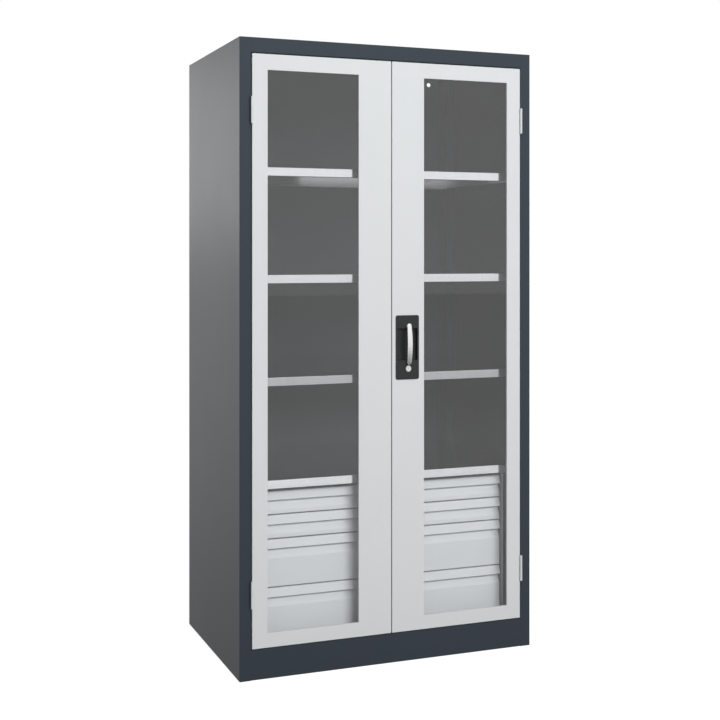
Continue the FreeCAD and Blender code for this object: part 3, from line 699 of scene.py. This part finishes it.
def side_sheet(side, folds):
    """A side wall whose outer edges are bent round to meet the posts."""
    node = f"{side}_wall"
    low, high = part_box(node)
    outer = low.x if side == "left" else high.x
    obj = bent_sheet(f"{side}_side", node, X, outer, folds)
    soften(obj, folds.cut_edge)
    install(obj, node)


def roof_cap(folds):
    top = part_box("roof_panel")[1].z
    obj = bent_sheet("roof_cap", "roof_panel", Z, top, folds)
    soften(obj, folds.cut_edge)
    install(obj, "roof_panel")


def back_sheet(folds):
    """The back between the rear posts, with its two wall fixing holes."""
    low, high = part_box("back_wall")
    obj = bent_sheet("back_sheet", "back_wall", Y, high.y, folds)
    points = [vertex.co for vertex in frame["nodes"]["back_wall"].data.vertices]
    rims = [point for point in points if low.x + NEAR < point.x < high.x - NEAR]
    for side in (-1, 1):
        rim = [point for point in rims if point.x * side > 0]
        left, right = min(point.x for point in rim), max(point.x for point in rim)
        foot, head = min(point.z for point in rim), max(point.z for point in rim)
        x, z = (left + right) / 2, (foot + head) / 2
        drill(obj, (x, low.y - PAST, z), (x, high.y + PAST, z), (right - left) / 2)
    soften(obj, folds.cut_edge)
    install(obj, "back_wall")


def lintel_fold(folds):
    """The lintel: a face and a flange with a stiffening edge, and the upper rod's hole."""
    low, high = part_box("lintel")
    profile = ((low.y, high.z), (low.y, low.z), (high.y, low.z), (high.y, low.z + folds.lintel_turn))
    obj = folded_strip("lintel_fold", low.x, high.x, profile, folds.bend)
    thicken(obj, folds.sheet)
    x, y, _ = middle_of("upper_rod")
    drill(obj, (x, y, low.z - PAST), (x, y, low.z + PAST * 2), size_of("upper_rod").y * ROD_HOLE)
    soften(obj, folds.cut_edge)
    install(obj, "lintel")


def plinth_fold(folds):
    low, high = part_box("plinth_panel")
    profile = ((low.y, high.z), (low.y, low.z), (low.y + folds.plinth_return, low.z))
    obj = folded_strip("plinth_fold", low.x, high.x, profile, folds.bend)
    thicken(obj, folds.sheet)
    soften(obj, folds.cut_edge)
    install(obj, "plinth_panel")


def glide_feet(handle):
    low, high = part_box("glide_feet")
    post_middle = (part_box("right_front_post")[0].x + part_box("right_wall")[1].x) / 2
    radius = (high.x - low.x) / 2 - post_middle
    feet = []
    for x in (low.x + radius, high.x - radius):
        for y in (low.y + radius, high.y - radius):
            foot = drum("foot", (x, y, low.z), (x, y, high.z), radius)
            soften(foot, handle.foot_rim, segments=3)
            feet.append(foot)
    install(gather("glide_pads", feet), "glide_feet")


class CABINET_OT_carcass(bpy.types.Operator):
    """Fold the side walls, roof, back, lintel and plinth, and set the cabinet on its feet"""

    bl_idname = "cabinet.carcass"
    bl_label = "Carcass"

    def execute(self, context):
        folds = context.scene.cabinet_folds
        for side in SIDES:
            side_sheet(side, folds)
        roof_cap(folds)
        back_sheet(folds)
        lintel_fold(folds)
        plinth_fold(folds)
        glide_feet(context.scene.cabinet_handle)
        return {"FINISHED"}


def shelf_tray(number, folds):
    """A shelf folded down on four sides, with its front and rear edges turned in."""
    node = f"shelf_{number}"
    low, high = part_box(node)
    obj = block(f"{node}_tray", low, high)
    with editing(obj):
        pick_faces(obj, faces_down)
        bpy.ops.mesh.delete(type="FACE")
        for edge_y, reach in ((low.y, folds.shelf_return), (high.y, -folds.shelf_return)):
            pick_edges(obj, lambda a, b: both_at(a, b, Z, low.z) and both_at(a, b, Y, edge_y))
            bpy.ops.mesh.extrude_region_move(TRANSFORM_OT_translate={"value": (0.0, reach, 0.0)})
        pick_edges(obj, lambda a, b: on_rim(a, b, low, high, (X, Y)) and both_at(a, b, Z, high.z)
                   or on_corner(a, b, low, high, (X, Y))
                   or both_at(a, b, Z, low.z) and (both_at(a, b, Y, low.y) or both_at(a, b, Y, high.y)))
        round_edges(folds.shelf_bend)
    thicken(obj, folds.sheet)
    soften(obj, folds.cut_edge)
    install(obj, node)


class CABINET_OT_shelves(bpy.types.Operator):
    """Fold the galvanised shelves"""

    bl_idname = "cabinet.shelves"
    bl_label = "Shelves"

    def execute(self, context):
        for number in SHELVES:
            shelf_tray(number, context.scene.cabinet_folds)
        return {"FINISHED"}


def drawer_fold(number, folds):
    """A drawer front: leaning grip strip, rounded lip, undercut, slope and flat face, with closed ends."""
    node = f"drawer_{number}_front"
    low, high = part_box(node)
    lip = low.y
    lip_z = high.z - folds.grip_height
    under_z = lip_z - folds.lip_fall
    profile = (
        (high.y, high.z),
        (lip + folds.grip_lean, high.z),
        (lip, lip_z),
        (lip + folds.undercut, under_z),
        (lip + folds.face_setback, under_z - folds.slope_height),
        (lip + folds.face_setback, low.z),
        (high.y, low.z),
    )
    obj = folded_strip(f"drawer_{number}_fold", low.x, high.x, profile, folds.bend, capped=True)
    thicken(obj, folds.sheet)
    soften(obj, folds.cut_edge)
    install(obj, node)


class CABINET_OT_drawers(bpy.types.Operator):
    """Fold the drawer fronts"""

    bl_idname = "cabinet.drawers"
    bl_label = "Drawers"

    def execute(self, context):
        for number in DRAWERS:
            drawer_fold(number, context.scene.cabinet_folds)
        return {"FINISHED"}


def cup_corners(handle):
    """The finger cup's opening: its lower left and upper right corners on the handle plate's front."""
    low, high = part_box("handle_plate")
    cup_low = low.z + handle.cup_rise
    left = Vector((low.x + handle.cup_margin, low.y, cup_low))
    right = Vector((high.x - handle.cup_margin, low.y, cup_low + handle.cup_height))
    return left, right


def door_pan(side, folds, handle):
    """A door folded as a pan, open at the back, with its window and, on the right, the handle's cuts."""
    node = f"{side}_door_panel"
    low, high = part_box(node)
    pane_low, pane_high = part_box(f"{side}_pane")
    lap = Vector((folds.pane_lap, 0.0, folds.pane_lap))
    window_low, window_high = pane_low + lap, pane_high - lap
    openings = [(window_low, window_high)]
    if side == "right":
        cup_low, cup_high = cup_corners(handle)
        slack = Vector((handle.cup_slack, 0.0, handle.cup_slack))
        openings.append((cup_low - slack, cup_high + slack))
    obj = block(f"{side}_door_pan", low, high)
    with editing(obj):
        pick_faces(obj, faces_back)
        bpy.ops.mesh.delete(type="FACE")
        for start, end in openings:
            pick_opening(obj, start, end)
            bpy.ops.mesh.delete(type="FACE")
        pick_edges(obj, lambda a, b: both_at(a, b, Y, low.y) and on_rim(a, b, low, high, (X, Z))
                   or on_corner(a, b, low, high, (X, Z)))
        round_edges(folds.door_bend)
    thicken(obj, folds.sheet)
    if side == "right":
        lock_holes(obj, low, high, handle)
    soften(obj, folds.cut_edge)
    install(obj, node)


def lock_holes(obj, low, high, handle):
    """Holes in the right door for the spindle, the lock housing and the two rods."""
    for node, room in (("lever_spindle", handle.spindle_room), ("lock_housing", 0.0)):
        x, _, z = middle_of(node)
        drill(obj, (x, low.y - PAST, z), (x, low.y + PAST * 2, z), size_of(node).x / 2 + room)
    for node, edge in (("upper_rod", high.z), ("lower_rod", low.z)):
        x, y, _ = middle_of(node)
        drill(obj, (x, y, edge - PAST), (x, y, edge + PAST), size_of(node).y * ROD_HOLE)


class CABINET_OT_doors(bpy.types.Operator):
    """Fold the two door pans and cut their windows"""

    bl_idname = "cabinet.doors"
    bl_label = "Doors"

    def execute(self, context):
        for side in SIDES:
            door_pan(side, context.scene.cabinet_folds, context.scene.cabinet_handle)
        return {"FINISHED"}


def knuckles(side, part, handle, folds):
    """The knuckles and leaves of one hinge half, above and below."""
    node = f"{side}_{part}_hinges"
    low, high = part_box(node)
    axis = Vector(JOINTS[f"{side}_door_swing"]["pos_m"])
    leaf_x = leaf_side(part, axis.x, folds)
    made = []
    for start in (low.z, high.z - handle.knuckle_length):
        end = start + handle.knuckle_length
        barrel = drum(
            "barrel", (axis.x, axis.y, start), (axis.x, axis.y, end), handle.knuckle, sides=40
        )
        leaf_y = axis.y + handle.leaf_setback
        leaf = block("leaf", (leaf_x[0], leaf_y, start), (leaf_x[1], high.y, end))
        combine(barrel, leaf, "UNION")
        soften(barrel, handle.knuckle_rim)
        made.append(barrel)
    install(gather(f"{side}_{part}_knuckles", made), node)


def leaf_side(part, axis_x, folds):
    """The two faces of a hinge leaf: a door's lies inside the plane of the axis, a post's outside it."""
    outwards = math.copysign(folds.sheet, axis_x)
    return sorted((axis_x, axis_x - outwards if part == "door" else axis_x + outwards))


class CABINET_OT_hinges(bpy.types.Operator):
    """Model the hinge knuckles and leaves"""

    bl_idname = "cabinet.hinges"
    bl_label = "Hinges"

    def execute(self, context):
        for side in SIDES:
            for part in ("post", "door"):
                knuckles(side, part, context.scene.cabinet_handle, context.scene.cabinet_folds)
        return {"FINISHED"}


def handle_moulding(handle):
    """The handle plate: a moulded shell with rounded corners and a finger cup drawn into it."""
    low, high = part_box("handle_plate")
    back = low.y + handle.plate
    cup_low, cup_high = cup_corners(handle)
    cup_floor = low.y + handle.cup_depth
    obj = block("handle_moulding", low, (high.x, back, high.z))
    with editing(obj):
        pick_edges(obj, lambda a, b: on_corner(a, b, low, high, (X, Z)))
        round_edges(handle.plate_corner, segments=8)
        pick_faces(obj, faces_back)
        bpy.ops.mesh.delete(type="FACE")
        pick_opening(obj, cup_low, cup_high)
        bpy.ops.mesh.extrude_region_move(TRANSFORM_OT_translate={"value": (0.0, handle.cup_depth, 0.0)})
        pick_edges(obj, lambda a, b: both_at(a, b, Y, cup_floor))
        round_edges(handle.cup_floor, segments=5)
        pick_edges(obj, lambda a, b: both_at(a, b, Y, low.y) and on_rim(a, b, cup_low, cup_high, (X, Z))
                   and inside_or_on(a, cup_low, cup_high) and inside_or_on(b, cup_low, cup_high))
        round_edges(handle.cup_rim)
    thicken(obj, handle.moulding)
    plate_bore(obj, "lever_spindle", low.y, back)
    x, _, z = middle_of("lock_housing")
    collar = drum("collar", (x, low.y - handle.collar_proud, z), (x, back, z), handle.collar)
    combine(obj, collar, "UNION")
    plate_bore(obj, "lock_housing", low.y, back)
    soften(obj, handle.plate_rim, segments=3, angle=math.radians(60))
    install(obj, "handle_plate")


def inside_or_on(point, low, high):
    return all(low[axis] - NEAR <= point[axis] <= high[axis] + NEAR for axis in (X, Z))


def plate_bore(obj, node, front, back):
    """A hole through the handle plate for a round piece."""
    x, _, z = middle_of(node)
    drill(obj, (x, front - PAST * 2, z), (x, back + PAST, z), size_of(node).x / 2)


def lever_bow(handle):
    """The lever: an oval bar that bows forward, with rounded ends, a hub on its spindle and a foot."""
    low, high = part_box("lever_arm")
    pivot = middle_of("lever_spindle")
    seat = high.y
    middle = (low.z + high.z) / 2
    reach = (high.z - low.z) / 2
    half_thick = handle.bow_thickness / 2
    axis_y = seat - half_thick
    obj = drum("lever_bow", (pivot.x, axis_y, low.z), (pivot.x, axis_y, high.z), half_thick, sides=40)
    with editing(obj):
        pick_edges(obj, lambda a, b: both_at(a, b, Z, low.z) or both_at(a, b, Z, high.z))
        round_edges(handle.bow_tip, segments=6)
        for ring in range(1, handle.bow_rings):
            height = low.z + (high.z - low.z) * ring / handle.bow_rings
            bpy.ops.mesh.select_all(action="SELECT")
            bpy.ops.mesh.bisect(plane_co=(0.0, 0.0, height), plane_no=(0.0, 0.0, 1.0))
        mesh = bmesh.from_edit_mesh(obj.data)
        heights = sorted({round(vertex.co.z, RING_DIGITS) for vertex in mesh.verts})
        for height in heights:
            share = 1.0 - ((height - middle) / reach) ** 2
            half = pick_ring(obj, height, pivot.x)
            wide = handle.bow_end + (handle.bow_width - handle.bow_end) * share
            from_end = min(height - low.z, high.z - height) / (wide / 2)
            arc = math.sqrt(1.0 - (1.0 - min(from_end + BLUNT, 1.0)) ** 2)
            bpy.ops.transform.resize(
                value=(wide / 2 * arc / half, 1.0, 1.0), center_override=(pivot.x, axis_y, height)
            )
            bpy.ops.transform.translate(value=(0.0, -handle.bow_rise * share, 0.0))
    foot_radius = handle.bow_end / 2
    post_y = axis_y - handle.post_sunk
    for height, radius in ((pivot.z, high.z - pivot.z), (low.z + foot_radius, foot_radius)):
        post = drum("post", (pivot.x, post_y, height), (pivot.x, seat, height), radius * POST_SHARE)
        combine(obj, post, "UNION")
    only(obj)
    bpy.ops.object.shade_smooth_by_angle(angle=math.radians(40))
    install(obj, "lever_arm")


def pick_ring(obj, height, middle_x):
    """Select the vertices at one height, and give half the ring's width."""
    bpy.ops.mesh.select_mode(type="VERT")
    bpy.ops.mesh.select_all(action="DESELECT")
    mesh = bmesh.from_edit_mesh(obj.data)
    half = 0.0
    for vertex in mesh.verts:
        if abs(vertex.co.z - height) < RING_NEAR:
            vertex.select_set(True)
            half = max(half, abs(vertex.co.x - middle_x))
    bmesh.update_edit_mesh(obj.data)
    return half


def key_barrel(handle):
    """The key plug: a turned disc with a rounded edge, a shallow dish and a key slot."""
    low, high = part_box("key_plug")
    x, _, z = middle_of("key_plug")
    radius = (high.x - low.x) / 2
    housing_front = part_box("lock_housing")[0].y
    obj = drum("key_barrel", (x, low.y, z), (x, housing_front - handle.plug_gap, z), radius, sides=64)
    with editing(obj):
        pick_faces(obj, faces_front)
        bpy.ops.mesh.inset(thickness=radius * PLUG_RIM_SHARE, depth=0.0)
        bpy.ops.mesh.extrude_region_move(TRANSFORM_OT_translate={"value": (0.0, handle.plug_dish, 0.0)})
    core_radius = size_of("lock_housing").x / 2 * CORE_SHARE
    core = drum("core", (x, housing_front - handle.core_sunk, z), (x, high.y, z), core_radius)
    combine(obj, core, "UNION")
    width, depth, tall = handle.key_slot
    half = Vector((width / 2, 0.0, tall / 2))
    mouth, end = Vector((x, low.y - PAST, z)), Vector((x, low.y + depth, z))
    combine(obj, block("slot", mouth - half, end + half), "DIFFERENCE")
    soften(obj, handle.plug_rim)
    install(obj, "key_plug")


class CABINET_OT_handle(bpy.types.Operator):
    """Model the handle plate, the lever and the key plug"""

    bl_idname = "cabinet.handle"
    bl_label = "Handle"

    def execute(self, context):
        handle = context.scene.cabinet_handle
        handle_moulding(handle)
        lever_bow(handle)
        key_barrel(handle)
        return {"FINISHED"}


class CABINET_OT_finishes(bpy.types.Operator):
    """Give every solid that still shows its finish: posts, trays, slides, panes, rods and the rest"""

    bl_idname = "cabinet.finishes"
    bl_label = "Finishes"

    def execute(self, context):
        for node, obj in frame["nodes"].items():
            obj.data.materials.clear()
            obj.data.materials.append(finish_for(SLOT_OF[node]))
        return {"FINISHED"}


def studio_floor(stage):
    """A pale floor that shows white to the camera and still takes the cabinet's shadow."""
    bpy.ops.object.select_all(action="DESELECT")
    bpy.ops.mesh.primitive_plane_add(size=stage.floor_size, location=(0.0, 0.0, -stage.floor_drop))
    floor = bpy.context.active_object
    floor.name = "studio_floor"
    finish = Finish(bpy.data.materials.new("studio_floor"))
    grey = stage.floor_grey
    pale = finish.node("ShaderNodeBsdfDiffuse", None, {"Color": (grey, grey, grey, 1.0)})
    scattered = finish.ray("Diffuse Depth")
    unscattered = scattered < FIRST_BOUNCE
    straight = scattered + finish.ray("Glossy Depth") < FIRST_BOUNCE
    through_pane = straight * (1.0 - FLOOR_IN_GLOSS) + unscattered * FLOOR_IN_GLOSS
    seen = finish.ray("Is Camera Ray") + finish.ray("Is Transmission Ray") * through_pane
    glow = finish.white_light("ShaderNodeEmission", seen * stage.floor_glow)
    floor.data.materials.append(finish.close(finish.node("ShaderNodeAddShader", None, {0: pale, 1: glow})))
    floor.visible_glossy = False


def surroundings(stage):
    """White to the eye, in gloss a bright horizon that falls off downwards, and else an even soft light."""
    world = bpy.data.worlds.new("studio")
    bpy.context.scene.world = world
    finish = Finish(world)
    eye = finish.ray("Is Camera Ray")
    direction = finish.node("ShaderNodeTexCoord", output="Generated")
    height = finish.node("ShaderNodeSeparateXYZ", None, {"Vector": direction}, "Z")
    level = finish.ramp((height + 1.0) * 0.5, HORIZON) * stage.gloss
    seen = finish.white_light("ShaderNodeBackground", eye + (1.0 - eye) * level)
    soft = finish.white_light("ShaderNodeBackground", stage.ambient)
    shown = eye + finish.ray("Is Glossy Ray") + finish.ray("Is Transmission Ray")
    finish.close(finish.between(shown, soft, seen), "ShaderNodeOutputWorld")


def softbox(name, place, aim, size, power):
    """A rectangular lamp that faces a point."""
    bpy.ops.object.light_add(type="AREA", location=place)
    lamp = bpy.context.active_object
    lamp.name = name
    lamp.rotation_euler = (Vector(aim) - Vector(place)).to_track_quat("-Z", "Y").to_euler()
    lamp.data.shape = "RECTANGLE"
    lamp.data.size, lamp.data.size_y = size
    lamp.data.energy = power
    return lamp


def front_camera(stage):
    """A level camera at the photograph's viewing angle."""
    level = math.pi / 2
    bpy.ops.object.camera_add(location=stage.camera_place, rotation=(level, 0.0, stage.camera_turn))
    camera = bpy.context.active_object
    camera.name = "front_camera"
    camera.data.lens = stage.lens
    camera.data.sensor_width = stage.film
    camera.data.shift_x = stage.shift_x
    camera.data.shift_y = stage.shift_y
    camera.data.clip_end = stage.view_end
    bpy.context.scene.camera = camera


class CABINET_OT_stage(bpy.types.Operator):
    """Set up the floor, the surroundings, the lamps and the camera"""

    bl_idname = "cabinet.stage"
    bl_label = "Stage"

    def execute(self, context):
        stage = context.scene.cabinet_stage
        studio_floor(stage)
        surroundings(stage)
        for name, (place, aim, size) in LAMPS.items():
            lamp = softbox(f"{name}_lamp", place, aim, size, getattr(stage, f"{name}_power"))
            # The panes and the polished pieces show no lamp in front of them
            lamp.visible_glossy = name != "key"
            lamp.visible_transmission = name != "key"
        front_camera(stage)
        context.scene.view_settings.view_transform = "Standard"
        return {"FINISHED"}


GROUPS = {
    "cabinet_folds": CabinetFolds,
    "cabinet_handle": CabinetHandle,
    "cabinet_finishes": CabinetFinishes,
    "cabinet_stage": CabinetStage,
}
OPERATORS = (
    CABINET_OT_finishes,
    CABINET_OT_carcass,
    CABINET_OT_shelves,
    CABINET_OT_drawers,
    CABINET_OT_doors,
    CABINET_OT_hinges,
    CABINET_OT_handle,
    CABINET_OT_stage,
)


class CABINET_PT_sidebar(bpy.types.Panel):
    """The cabinet's pieces and their sizes"""

    bl_label = "Cabinet"
    bl_space_type = "VIEW_3D"
    bl_region_type = "UI"
    bl_category = "Cabinet"

    def draw(self, context):
        for operator in OPERATORS:
            self.layout.operator(operator.bl_idname)
        for name in GROUPS:
            group = getattr(context.scene, name)
            column = self.layout.column(align=True)
            for prop in group.__annotations__:
                column.prop(group, prop)


CLASSES = (*GROUPS.values(), *OPERATORS, CABINET_PT_sidebar)


def register():
    for item in CLASSES:
        bpy.utils.register_class(item)
    for name, group in GROUPS.items():
        setattr(bpy.types.Scene, name, PointerProperty(type=group))


def unregister():
    for name in GROUPS:
        delattr(bpy.types.Scene, name)
    for item in reversed(CLASSES):
        bpy.utils.unregister_class(item)


def main():
    register()
    for operator in OPERATORS:
        group, name = operator.bl_idname.split(".")
        getattr(getattr(bpy.ops, group), name)()


if __name__ == "__main__":
    main()
